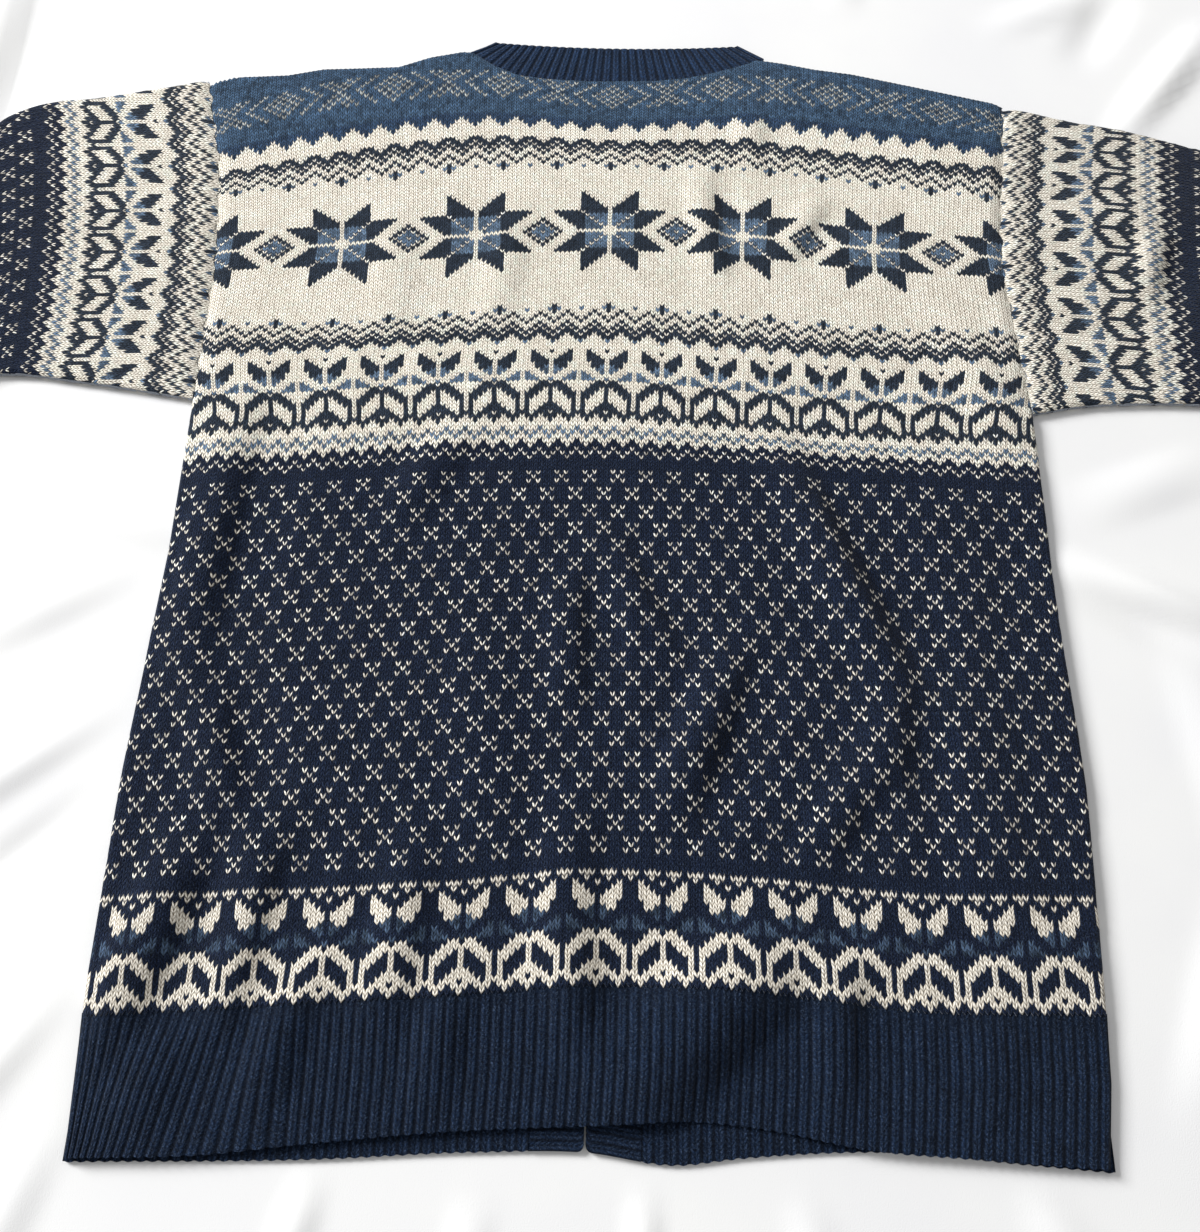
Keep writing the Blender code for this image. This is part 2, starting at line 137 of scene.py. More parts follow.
def side_distance(x, y):
    """How far inside the nearer side edge a point lies."""
    left, right = smooth_sides(y)
    return np.minimum(x - left, right - x)


def sides(y):
    """The side edges with the armhole seams, which waver a little."""
    y = np.asarray(y)
    waver = np.where(y > SEAM_START, 0.9 * np.sin(y / 4.3) + 0.7 * np.sin(y / 2.2), 0)
    left, right = smooth_sides(y)
    return left + waver, right - waver


def spread(table, x, at):
    """Value of a table with one row for each key, seven places across in each row."""
    keys = sorted(table)
    levels = np.stack([soft(ACROSS, table[key], x) for key in keys])
    low = np.clip(np.searchsorted(keys, at) - 1, 0, len(keys) - 2)
    below = np.take_along_axis(levels, low[None], 0)[0]
    above = np.take_along_axis(levels, low[None] + 1, 0)[0]
    keys = np.array(keys)
    return below + (above - below) * (at - keys[low]) / (keys[low + 1] - keys[low])


def body_point(c, n):
    """Place on the body of wale c, course n."""
    y = spread(COURSES, c * USUAL_WALE, n)
    x = np.interp(y, *WALE_SHIFT) + c * np.interp(y, *WALE_WIDTH)
    return x + spread(DRIFT, np.clip(x, -270, 270), np.clip(y, 0, 720)), y


def body_place(c, n):
    """The same, held inside the edges of the back, and which points lay inside them."""
    x, y = body_point(c, n)
    left, right = sides(y)
    inside = (x > left) & (x < right)
    x = np.clip(x, left, right)
    top = np.interp(x, *BACK_TOP)
    return x, np.minimum(y, top), inside & (y < top)


# Soft folds of the back: ridges where height is above 0, troughs where it is below
FOLDS = (
    # x, y, heading in degrees, length, width, height
    (-247, 345, 87, 300, 27, 6.2),
    (-216, 345, 87, 300, 28, -3.8),
    (-226, 222, 108, 140, 22, 5.6),
    (-198, 212, 108, 140, 22, -3.8),
    (-197, 120, 80, 170, 25, 6.2),
    (-247, 108, 73, 190, 25, 6.8),
    (-214, 96, 73, 170, 26, -5.0),
    (-168, 118, 80, 160, 24, -3.4),
    (-233, 34, 68, 90, 26, 4.2),
    (148, 328, 113, 270, 25, 10.0),
    (176, 338, 113, 260, 27, -5.0),
    (170, 214, 92, 130, 22, 4.6),
    (196, 214, 92, 130, 22, -3.4),
    (254, 328, 95, 120, 20, -2.6),
    (142, 186, 58, 130, 20, 4.0),
    (163, 176, 58, 130, 20, -2.7),
    (58, 66, 43, 190, 42, 10.6),
    (90, 32, 43, 180, 40, -5.0),
    (-168, 50, 76, 110, 20, 5.0),
    (-82, 52, 82, 100, 20, 4.4),
    (-8, 76, 92, 100, 20, 4.6),
    (131, 62, 84, 110, 21, 6.2),
    (157, 58, 84, 110, 22, -3.6),
    (214, 50, 84, 80, 22, 3.0),
    (17, 316, 117, 150, 20, 4.8),
    (-20, 285, 92, 150, 18, 4.2),
    (40, 328, 117, 150, 20, -3.6),
    (2, 285, 92, 150, 18, -3.0),
    (61, 229, 70, 160, 22, 6.6),
    (86, 220, 70, 160, 22, -3.6),
    (-112, 398, 62, 130, 22, 4.2),
    (-16, 130, 88, 180, 24, 6.0),
    (-108, 112, 84, 170, 22, 5.4),
    (-68, 230, 96, 240, 30, 2.8),
    (222, 200, 94, 300, 34, 3.7),
    (250, 470, 112, 150, 24, 3.4),
    (68, 596, 98, 130, 16, 3.8),
    (88, 598, 98, 130, 15, -2.4),
    (133, 596, 62, 90, 15, 2.6),
    (150, 588, 62, 90, 15, -1.7),
    (-72, 560, 84, 150, 20, 2.8),
    (100, 690, 96, 90, 18, 3.4),
    (-150, 560, 96, 150, 26, 2.8),
)


def folds(x, y, table):
    """Height that the folds of a table add at each point."""
    total = np.zeros_like(x)
    for fold_x, fold_y, heading, length, width, height in table:
        a = math.radians(heading)
        along = (x - fold_x) * math.cos(a) + (y - fold_y) * math.sin(a)
        aside = (y - fold_y) * math.cos(a) - (x - fold_x) * math.sin(a)
        reach = np.clip(1 - (2 * along / length) ** 2, 0, 1)
        breadth = np.clip(1 - (aside / width) ** 2, 0, 1)
        total += height * reach ** 2 * breadth ** 2
    return total


LEVEL_EDGE = 12     # folds die out over this width along the edges


def fold_lift(x, y, table, edge, deepest):
    """The same, level at the edges of the piece, and no trough deeper than the cloth has room for."""
    lift = folds(x, y, table) * np.clip(edge / LEVEL_EDGE, 0, 1)
    return np.where(lift < 0, deepest * np.tanh(lift / deepest), lift)


EDGE_ROLL = 4.0     # width over which a folded side edge rounds down
EDGE_CLOTH = 0.6    # thickness left at the very edge
ARMHOLE = 455       # the armholes begin at this height
SEAM_DEPTH, SEAM_REACH = 2.4, 9.0     # the cloth dips towards the armhole seams


def back_height(x, y):
    edge = side_distance(x, y)
    roll = np.where(y < ARMHOLE, np.clip(edge / EDGE_ROLL, 0, 1), 1)
    rolled = UPPER_LOW + EDGE_CLOTH + (LAYER - EDGE_CLOTH) * np.sqrt(1 - (1 - roll) ** 2)
    seam = np.where(y < ARMHOLE, 0, SEAM_DEPTH * np.clip(1 - edge / SEAM_REACH, 0, 1) ** 1.5)
    return rolled - seam + fold_lift(x, y, FOLDS, edge, 2.3)


# Leaves: half of a repeat of 12 wales, its middle wale first. F is leaf, B a blue stitch in it
LEAVES = (
    "F...F..", "...FF..", "..FFF..", ".FFFF..", ".FFF...", ".BFF...", ".BB....",
    ".B...B.", "....BB.", "B..BBB.", ".FF....", "FFFF...", "F.FFF..", "F..FFF.",
    "F...FF.", "F....F.", "FF...F.", "FFF..F.", ".FFF.FF", "FF.FFF.", "F...F..",
)
# Diamonds of the yoke: which wales are cream, from the middle course outwards
DIAMONDS = ((0, 2, 4, 8, 12), (1, 3, 7, 11), (0, 2, 6, 10, 12), (1, 5, 9, 11), (0, 4, 8, 10))
NAVY, CREAM, BLUE, YOKE, DEEP, DIM, GREYED = range(7)
# Courses on which parts of the pattern start, end or have their middle
BORDER_TOP = 20
LICE_TOP = 103
LIGHT_START = 112
LEAVES_START, LEAVES_TOP = 117, 137
STARS_MIDDLE = 174
ZIGZAG_START = 194
DIAMONDS_MIDDLE = 221
PETAL = 6             # length and breadth of a petal of a star, in stitches
STAR_HEART = 5        # the petals are blue up to here
STAR_REPEAT = 30


def fold_over(c, period):
    """Distance of wale c from the nearest middle wale of a mirrored repeat."""
    return abs((c + period // 2) % period - period // 2)


def body_yarn(c, n):
    """Which wool wale c of course n is knitted in. c and n are whole numbers."""
    yarn = np.full(c.shape, NAVY)

    def put(where, colour):
        yarn[where] = colour

    side12, side6, star_side, side24 = (fold_over(c, p) for p in (12, 6, STAR_REPEAT, 24))

    # Border of leaves above the rib, with a row of small T shapes over it
    leaves = np.array([list(row) for row in LEAVES])
    border = (n >= 0) & (n <= BORDER_TOP)
    mark = leaves[np.clip(BORDER_TOP - n, 0, 20), side12]
    put(border & (mark == "F"), CREAM)
    put(border & (mark == "B"), DIM)
    put((n == BORDER_TOP + 1) & (c % 4 == 2), CREAM)
    put((n == BORDER_TOP + 2) & (c % 4 != 0), CREAM)

    # Lice: small crosses of five stitches, each row of them between those of the next
    cross = np.round((LICE_TOP - n) / 4).astype(int)
    dn = np.abs(n - (LICE_TOP - 4 * cross))
    dc = np.abs((c - np.where(cross % 2 == 0, 3, 0) + 3) % 6 - 3)
    lice = (n >= BORDER_TOP + 6) & (n <= LICE_TOP + 1)
    put(lice & (dn == 0) & (dc == 0), CREAM)
    put(lice & (dn == 1) & (dc == 1), CREAM)

    # Dotted rows and the edge of the cream bands
    for step, where in enumerate((c % 4 == 2, c % 2 == 1, c % 4 == 0)):
        put(where & (n == LIGHT_START - 2 - step), CREAM)
        put(where & (n > LIGHT_START - step), CREAM)
        put(where & (n == LIGHT_START + 3 - step), BLUE)

    # Upper leaves, navy on cream
    upper = (n >= LEAVES_START) & (n <= LEAVES_TOP)
    mark = leaves[np.clip(LEAVES_TOP - n, 0, 20), side12]
    put(n >= LEAVES_START, CREAM)
    put(upper & (mark == "F"), NAVY)
    put(upper & (mark == "B"), BLUE)

    # Lower zigzag, its tips up
    r = LEAVES_TOP - n
    for line in (-9, -6, -4, -3):
        put(r == line - side6, NAVY)
    put((r == -3) & (side6 == 0), BLUE)
    put((side12 == 0) & np.isin(r, (-14, -13, -12)), NAVY)
    put((side12 == 1) & (r == -13), BLUE)
    put((side12 == 6) & (r == -13), BLUE)

    # Eight-pointed stars of eight slanted petals, plain lozenges between them
    rise = np.abs(n - STARS_MIDDLE)
    near, far = np.minimum(star_side, rise), np.maximum(star_side, rise)
    petal = (near >= 1) & (near <= PETAL) & (far > near) & (far <= near + PETAL)
    put(petal, NAVY)
    put(petal & (far <= STAR_HEART), BLUE)
    lozenge = STAR_REPEAT // 2 - star_side + rise
    put(lozenge == 4, NAVY)
    put(lozenge <= 2, BLUE)
    put(lozenge == 0, CREAM)

    # Upper zigzag, its tips down, and the scallops over it
    u = n - ZIGZAG_START
    put(u == 5 - side6, NAVY)
    put(u == 8 - side6, NAVY)
    thick = np.array((10, 10, 9, 8))[side6]
    scallop = np.array((13, 14, 15, 16))[side6]
    put((u >= 10 - side6) & (u <= thick), NAVY)
    put((side12 == 0) & ((u == 0) | (u == 1) | (u == 2)), NAVY)
    put((side12 == 1) & (u == 1), BLUE)
    put((side12 == 6) & (u == 1), BLUE)

    # Blue yoke with diamonds of single cream stitches
    put(u > scallop, YOKE)
    put((u > scallop) & (u <= 17), DEEP)
    dy = np.abs(n - DIAMONDS_MIDDLE)
    for course, wales in enumerate(DIAMONDS):
        put((dy == course) & np.isin(side24, wales), CREAM)
    put((yarn == NAVY) & (n > LIGHT_START), GREYED)
    return yarn


def linear(hexcode):
    """A colour as seen on a screen, as the renderer wants it."""
    parts = [int(hexcode[k:k + 2], 16) / 255 for k in (0, 2, 4)]
    return [p / 12.92 if p <= 0.04045 else ((p + 0.055) / 1.055) ** 2.4 for p in parts]


# The wools, in the order of their names: their colours, and how uneven each is
WOOLS = ("131c30", "fff8ea", "5d728a", "3e5670", "2f445f", "3a4a5f", "28313d")
YARNS = np.array([linear(code) for code in WOOLS])
UNEVEN = np.array((0.13, 0.05, 0.26, 0.27, 0.24, 0.34, 0.2))
CROWD = (1, 2, 3, 4)        # dark stitches round a light one
YOKE_START = 211            # single light stitches above this course are larger and greyer
INSIDE_COLOUR = (*linear("8b8f96"), 1)      # wrong side of the knitting, its floats mixed
chance = np.random.default_rng(7)


def stitch_colours(yarn, n):
    """Colour of each leg of each stitch, a little lighter or darker by hand, and how full the leg is.

    Light stitches crowded by dark ones sink in between them, so their legs are thin.
    """
    stray = chance.normal(0, 1, yarn.shape).clip(-1.8, 1.8)
    colour = YARNS[yarn] * (1 + UNEVEN[yarn] * stray)[..., None]
    light = yarn == CREAM
    crowd = sum(~np.roll(light, shift, axis) for shift in (-1, 1) for axis in (0, 1))
    fullness = np.where(n > BORDER_TOP, np.interp(crowd, CROWD, (1.0, 0.72, 0.42, 0.06)),
                        np.interp(crowd, CROWD, (1.0, 0.85, 0.7, 0.55)))
    single = light & (fullness < 0.1)
    thin_rows = (n == BORDER_TOP + 1) | (n == BORDER_TOP + 2)
    fullness = np.where(single & (n > YOKE_START), 0.5, np.where(thin_rows, 0.6 * fullness, fullness))
    colour = np.where((single & (n > YOKE_START))[..., None], colour * (0.53, 0.59, 0.65), colour)
    # painted shade: light stitches next to the rib are darker
    painted_shade_near_rib = light & (n < BORDER_TOP + 3)
    colour = np.where(painted_shade_near_rib[..., None], colour * 0.87, colour)      # painted shade
    fullness = np.repeat(np.where(light, fullness, 1.0), 2, axis=1)
    colour = np.repeat(colour, 2, axis=1)
    single = np.repeat(single, 2, axis=1)
    legs = chance.uniform(0.40, 1.1, single.shape)
    colour = np.where(single[..., None], colour * legs[..., None], colour)
    full = np.clip(fullness + np.where(single, chance.uniform(-0.06, 0.06, single.shape), 0), 0, 1)
    return np.concatenate([np.clip(colour, 0, 1), full[..., None]], -1)


def knitting(name, wales, courses, place, height, underside, yarn, slant=0.40, down=False, relief=0.38):
    """A panel of knitting. Each stitch is two slanted faces, the two legs of its V.

    slant is how far, in courses, the V's middle dips and its sides rise. relief is the depth of the
    grooves between the wales.
    """
    first, last = wales
    low, high = courses
    across, up = 2 * (last - first + 1), high - low + 1
    mesh = bpy.data.meshes.new(name)
    bm = bmesh.new()
    bmesh.ops.create_grid(bm, x_segments=across, y_segments=up, size=0.5)
    uv = bm.loops.layers.uv.new("stitches")
    bm.to_mesh(mesh)
    bm.free()
    c, n = np.meshgrid(first - 0.5 + np.arange(across + 1) / 2, low - 0.5 + np.arange(up + 1))
    side = np.arange(across + 1) % 2 == 0
    astray = chance.normal(0, 1, (2, *c.shape))         # no stitch lies quite in its place
    x, y, inside = place(c + 0.05 * astray[0], n + 0.07 * astray[1] + np.where(side, slant, -slant))
    z = height(x, y)
    groove = np.where(side, relief, 0)
    z = z + groove if down else z - groove
    points = np.stack([MIDDLE + x / 1000, HEM + y / 1000, z / 1000], -1).reshape(-1, 3)
    mesh.vertices.foreach_set("co", points.ravel())

    # Two faces for each stitch, in its own wool
    stitch_c, stitch_n = np.meshgrid(first + np.arange(across) // 2, low + np.arange(up))
    faces = stitch_colours(yarn(stitch_c[:, ::2], stitch_n[:, ::2]), stitch_n[:, ::2]).reshape(-1, 4)
    corners = np.repeat(faces[:, None], 4, axis=1)
    layer = mesh.color_attributes.new("wool", "FLOAT_COLOR", "CORNER")
    layer.data.foreach_set("color", corners.ravel())
    left_leg = np.arange(across) % 2 == 0
    u = np.where(left_leg[:, None], (0, 1, 1, 0), (1, 0, 0, 1))
    v = np.broadcast_to((0, 0, 1, 1), (across, 4))
    coords = np.broadcast_to(np.stack([u, v], -1), (up, across, 4, 2))
    mesh.uv_layers["stitches"].data.foreach_set("uv", coords.astype(float).ravel())

    # Drop the faces that lie wholly outside the edge, then close the panel underneath
    bm = bmesh.new()
    bm.from_mesh(mesh)
    number = bm.verts.layers.int.new("number")
    outside = ~inside.ravel()
    for vertex in bm.verts:
        vertex[number] = vertex.index
    gone = [f for f in bm.faces if all(outside[v.index] for v in f.verts)]
    bmesh.ops.delete(bm, geom=gone, context="FACES")
    x, y, _ = place(c, n)
    close_under(bm, underside, number, MIDDLE + x.ravel() / 1000, HEM + y.ravel() / 1000)
    bm.verts.layers.int.remove(number)
    bmesh.ops.recalc_face_normals(bm, faces=bm.faces)
    bm.to_mesh(mesh)
    bm.free()
    return mesh


def close_under(bm, underside, number, plain_x, plain_y):
    """Walls from the rim of a panel down to its flat other side, whose outline has no teeth."""
    uv = bm.loops.layers.uv.active
    wool = bm.loops.layers.float_color["wool"]
    rim = [e for e in bm.edges if e.is_boundary]
    made = bmesh.ops.extrude_edge_only(bm, edges=rim)["geom"]
    below = [g for g in made if isinstance(g, bmesh.types.BMVert)]
    for vertex in below:
        vertex.co = (plain_x[vertex[number]], plain_y[vertex[number]], underside / 1000)
    bmesh.ops.remove_doubles(bm, verts=below, dist=0.0002)
    ring = [e for e in bm.edges if e.is_boundary]
    flat = bmesh.ops.contextual_create(bm, geom=ring)["faces"]
    walls = {f for e in ring for f in e.link_faces} | set(flat)
    for face in walls:
        for loop in face.loops:
            loop[wool] = INSIDE_COLOUR
            loop[uv].uv = (0.5, 0.5)


def nodes_for(material):
    """A function that adds one node: its type, what goes into its inputs, and its settings."""
    tree = material.node_tree

    def add(kind, inputs=(), **settings):
        node = tree.nodes.new("ShaderNode" + kind)
        for key, value in settings.items():
            setattr(node, key, value)
        for key, value in dict(inputs).items():
            if isinstance(value, bpy.types.NodeSocket):
                tree.links.new(value, node.inputs[key])
            else:
                node.inputs[key].default_value = value
        return node

    return add


# Wool of the stranded knitting: soft, matt, a little hairy. The colour of each stitch is on the mesh
stranded_wool = bpy.data.materials.new("stranded wool, navy, cream and blue")
stranded_wool.use_nodes = True
add = nodes_for(stranded_wool)
wool_data = add("Attribute", attribute_name="wool")
own_place = add("TexCoord").outputs["Object"]
fuzz = add("TexNoise", {"Vector": own_place, "Scale": 900.0, "Detail": 3.0, "Roughness": 0.7}).outputs["Fac"]
blotch = add("TexNoise", {"Vector": own_place, "Scale": 45.0, "Detail": 2.0}).outputs["Fac"]
uv = add("UVMap", uv_map="stitches").outputs["UV"]
split = add("SeparateXYZ", {"Vector": uv})


def bulge(value):
    """0 at both sides of a leg, 1 along its middle: 4 v (1 - v)."""
    back = add("Math", {0: 1.0, 1: value}, operation="SUBTRACT").outputs[0]
    product = add("Math", {0: value, 1: back}, operation="MULTIPLY").outputs[0]
    return add("Math", {0: product, 1: 4.0}, operation="MULTIPLY").outputs[0]


leg = add("Math", {0: bulge(split.outputs["Y"]), 1: 0.6}, operation="POWER").outputs[0]
leg_side = add("Math", {0: bulge(split.outputs["X"]), 1: 0.35}, operation="POWER").outputs[0]
round_leg = add("Math", {0: leg, 1: leg_side}, operation="MULTIPLY").outputs[0]
# small hole where the two legs part, painted dark as shade
from_boundary = add("Math", {0: 1.0, 1: split.outputs["X"]}, operation="SUBTRACT").outputs[0]
hole_aside = add("Math", {0: from_boundary, 1: 2.6}, operation="MULTIPLY").outputs[0]
over_hole = add("Math", {0: split.outputs["Y"], 1: 0.86}, operation="SUBTRACT").outputs[0]
hole_up = add("Math", {0: over_hole, 1: 2.8}, operation="MULTIPLY").outputs[0]
hole_reach = add("VectorMath", {0: add("CombineXYZ", {"X": hole_aside, "Y": hole_up}).outputs[0]},
                 operation="LENGTH").outputs["Value"]
hole_shade = add("MapRange", {"Value": hole_reach, "From Min": 0.45, "From Max": 1.0,
                        "To Min": 0.30, "To Max": 1.0}).outputs[0]
# painted shade and highlight: each leg darker towards its edges, a little lighter than its wool along its
# middle
leg_shade = add("MapRange", {"Value": round_leg, "To Min": 0.40, "To Max": 1.10}).outputs[0]
painted_shade = add("Math", {0: leg_shade, 1: hole_shade}, operation="MULTIPLY").outputs[0]
# a thin stitch is navy wool all round a narrow core of its own colour
over_core = add("Math", {0: split.outputs["Y"], 1: 0.46}, operation="SUBTRACT").outputs[0]
reach_y = add("Math", {0: over_core, 1: 3.1}, operation="MULTIPLY").outputs[0]
beside_core = add("Math", {0: split.outputs["X"], 1: 0.50}, operation="SUBTRACT").outputs[0]
reach_x = add("Math", {0: beside_core, 1: 1.85}, operation="MULTIPLY").outputs[0]
from_core = add("VectorMath", {0: add("CombineXYZ", {"X": reach_x, "Y": reach_y}).outputs[0]},
                operation="LENGTH").outputs["Value"]
ragged = add("Math", {0: from_core, 1: add("Math", {0: fuzz, 1: 0.5}, operation="SUBTRACT").outputs[0]},
             operation="ADD").outputs[0]
core = add("MapRange", {"Value": ragged, "From Min": 0.70, "From Max": 1.0,
                        "To Min": 1.0, "To Max": 0.0}).outputs[0]
own_share = add("Math", {0: core, 1: wool_data.outputs["Alpha"]}, operation="MAXIMUM").outputs[0]
own_mix = add("Mix", {"Factor": own_share, "A": (*linear("151d33"), 1), "B": wool_data.outputs["Color"]},
              data_type="RGBA")
own = own_mix.outputs["Result"]
fuzz_shade = add("MapRange", {"Value": fuzz, "From Min": 0.3, "From Max": 0.7,
                              "To Min": 0.70, "To Max": 1.30}).outputs[0]
blotch_shade = add("MapRange", {"Value": blotch, "From Min": 0.3, "From Max": 0.7,
                                "To Min": 0.94, "To Max": 1.06}).outputs[0]
both = add("Math", {0: painted_shade, 1: fuzz_shade}, operation="MULTIPLY").outputs[0]
all_three = add("Math", {0: both, 1: blotch_shade}, operation="MULTIPLY").outputs[0]
# the painted shade turns warmer where it is deeper
red_share = add("Math", {0: all_three, 1: 0.90}, operation="POWER").outputs[0]
blue_share = add("Math", {0: all_three, 1: 1.15}, operation="POWER").outputs[0]
warm_shade = add("CombineXYZ", {"X": red_share, "Y": all_three, "Z": blue_share}).outputs[0]
shaded = add("VectorMath", {0: own, 1: warm_shade}, operation="MULTIPLY").outputs[0]


def with_hairs_and_sheen(add, colour, form, noise_range, most, form_range):
    """A colour with loose hairs over it, partly a painted sheen: they catch the light most where the form is
    high.
    """
    place = add("TexCoord").outputs["Object"]
    noise = add("TexNoise", {"Vector": place, "Scale": 1300.0, "Detail": 2.0, "Roughness": 0.6,
                             "Distortion": 1.5}).outputs["Fac"]
    hair = add("MapRange", {"Value": noise, "From Min": noise_range[0], "From Max": noise_range[1],
                            "To Max": most}).outputs[0]
    raised = add("MapRange", {"Value": form, "To Min": form_range[0], "To Max": form_range[1]}).outputs[0]
    light = add("Math", {0: hair, 1: raised}, operation="MULTIPLY").outputs[0]
    # painted sheen: bluish light added over the colour
    hair_sheen = add("VectorMath", {0: (0.62, 0.90, 1.45), "Scale": light}, operation="SCALE").outputs[0]
    return add("VectorMath", {0: colour, 1: hair_sheen}, operation="ADD").outputs[0]


def finish_wool(material, colour, form, fuzz):
    """Matt wool with a little sheen, in its colour, raised by the form of its stitches and by its fuzz."""
    add = nodes_for(material)
    raised_form = add("Math", {0: form, 1: fuzz}, operation="ADD").outputs[0]
    bump = add("Bump", {"Height": raised_form, "Distance": 0.0007, "Strength": 0.8}).outputs[0]
    shader = material.node_tree.nodes["Principled BSDF"]
    material.node_tree.links.new(colour, shader.inputs["Base Color"])
    material.node_tree.links.new(bump, shader.inputs["Normal"])
    shader.inputs["Roughness"].default_value = 0.95
    shader.inputs["Specular IOR Level"].default_value = 0.06
    shader.inputs["Sheen Weight"].default_value = 0.06
    shader.inputs["Sheen Roughness"].default_value = 0.5


tinted = with_hairs_and_sheen(add, shaded, round_leg, (0.50, 0.70), 0.062, (0.35, 1.0))
finish_wool(stranded_wool, tinted, round_leg, fuzz)


def piece(name, meshes, material, cad_node):
    """One piece of cloth from its meshes, standing for its CAD node."""
    bm = bmesh.new()
    for mesh in meshes:
        bm.from_mesh(mesh)
    bm.to_mesh(meshes[0])
    bm.free()
    whole = meshes[0]
    whole.shade_smooth()
    whole.set_sharp_from_angle(angle=math.radians(60))
    whole.materials.append(material)
    obj = bpy.data.objects.new(name, whole)
    bpy.context.scene.collection.objects.link(obj)
    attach(obj, "root")
    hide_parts(cad_node)
    return obj


back_panel = knitting("back panel", (-BACK_WALES, BACK_WALES), (0, ROWS - 1), body_place, back_height,
                      UPPER_LOW, body_yarn)
piece("back_panel", [back_panel], stranded_wool, "back")


# ---------------------------------------------------------------------------------------------
# Hem of the back: one by one rib, knitted on below the back. The cloth itself is waved, so each
# rib stands up on this side and is a furrow on the other.
# ---------------------------------------------------------------------------------------------
BACK_HEM = (
    (-271, -200, -149, -80, 27, 48, 103, 145, 210, 270),
    (-7, -4, 2, 9, 15.5, 17, 13, 6, 2, -1),
)
BACK_RIBS, FRONT_RIBS = 90, 39
RIB_CLOTH = 1.9       # thickness of the cloth
RIB_WAVE = (-1.0, 0.1, 0.85, 1.0, 0.85, 0.1)     # from furrow to furrow
RIB_DEPTH = 0.34
CAST_OFF_WAVE = 0.4   # the lower edge waves with the ribs


def ribbing(name, ribs, rows, place, wool="0c1728", start=0.001):
    """A waved wall of rib. place(u, v) gives points on its middle surface and which way is out.

    The ribs grow out of plain knitting over the share "start" of the wall's height.
    """
    steps = len(RIB_WAVE)
    across = steps * ribs
    mesh = bpy.data.meshes.new(name)
    bm = bmesh.new()
    bmesh.ops.create_grid(bm, x_segments=across, y_segments=rows, size=0.5)
    bm.loops.layers.uv.new("stitches")
    for index, vertex in enumerate(bm.verts):
        vertex.co = (index, 0, 0)          # so that each copy below knows where it came from
    bmesh.ops.extrude_face_region(bm, geom=bm.faces[:])
    bm.verts.index_update()
    source = np.array([round(vertex.co.x) for vertex in bm.verts])
    outer = np.ones(len(source))
    outer[:(across + 1) * (rows + 1)] = -1
    bm.to_mesh(mesh)
    bm.free()
    u, v = np.meshgrid(np.arange(across + 1) / steps, np.linspace(0, 1, rows + 1))
    centre, out, rise = place(u / ribs, v)
    grown = np.clip((1 - v) / start, 0, 1) if start > 0.01 else np.ones_like(v)
    wave = RIB_DEPTH * np.array(RIB_WAVE)[np.arange(across + 1) % steps] * grown
    centre, out = centre.reshape(-1, 3)[source], out.reshape(-1, 3)[source]
    wave = wave.ravel()[source]
    points = centre + out * (wave + outer * RIB_CLOTH / 2)[:, None]
    points = points / 1000 + (MIDDLE, HEM, 0)
    mesh.vertices.foreach_set("co", points.ravel())
    corners = np.zeros(len(mesh.loops), int)
    mesh.loops.foreach_get("vertex_index", corners)
    coords = np.stack([u.ravel(), rise.ravel() / RIB_ROW], -1)[source][corners]
    mesh.uv_layers["stitches"].data.foreach_set("uv", coords.ravel())
    layer = mesh.color_attributes.new("wool", "FLOAT_COLOR", "CORNER")
    shades = np.tile((*linear(wool), 1.0), (len(mesh.loops), 1))
    shades[:, 3] = grown.ravel()[source][corners]
    layer.data.foreach_set("color", shades.ravel())
    bm = bmesh.new()
    bm.from_mesh(mesh)
    bmesh.ops.recalc_face_normals(bm, faces=bm.faces)
    bm.to_mesh(mesh)
    bm.free()
    return mesh


RIB_ROW = 2.9         # height of one stitch of rib
UP = np.array((0.0, 0.0, 1.0))


def level(x, y, z, way=1):
    """Points of a wall that lies flat, and its outer side."""
    points = np.stack([x, y, z], -1)
    return points, np.broadcast_to(UP * way, points.shape)


def back_hem_place(u, v):
    edge_wave = CAST_OFF_WAVE * np.cos(2 * math.pi * BACK_RIBS * u) * (1 - v) ** 6
    # beside the left end the ribs lean outwards, most at the lower edge
    u = u - 0.034 * (1 - v) * np.clip(1 - ((u - 0.105) / 0.105) ** 2, 0, 1)
    x = -273 + 549 * u
    top = spread(COURSES, x, np.full_like(x, -0.5)) + 0.6
    y = soft(*BACK_HEM, x) * (1 - v) + top * v + edge_wave
    left, right = smooth_sides(y)
    x = left + (right - left) * u
    edge = np.minimum(x - left, right - x)
    z = (UPPER_LOW + UPPER_HIGH) / 2 - 0.8 * np.clip(1 - edge / EDGE_ROLL, 0, 1)
    return *level(x, y, z + fold_lift(x, y, FOLDS, edge, 1.8)), y


# Wool of the ribs: navy, each raised rib a chain of V stitches. Painted shade darkens the furrows between
# them and the edges of each stitch, and a painted highlight lightens the legs on the crests
rib_wool = bpy.data.materials.new("rib knitted wool, navy")
rib_wool.use_nodes = True
add = nodes_for(rib_wool)
own_place = add("TexCoord").outputs["Object"]
fuzz = add("TexNoise", {"Vector": own_place, "Scale": 900.0, "Detail": 3.0, "Roughness": 0.7}).outputs["Fac"]
split = add("SeparateXYZ", {"Vector": add("UVMap", uv_map="stitches").outputs["UV"]})
across_rib = add("Math", {0: split.outputs["X"]}, operation="FRACT").outputs[0]
from_middle = add("Math", {0: add("Math", {0: across_rib, 1: 0.5}, operation="SUBTRACT").outputs[0]},
                  operation="ABSOLUTE").outputs[0]
slanted = add("Math", {0: add("Math", {0: from_middle, 1: -2.4}, operation="MULTIPLY").outputs[0],
                       1: split.outputs["Y"]}, operation="ADD").outputs[0]
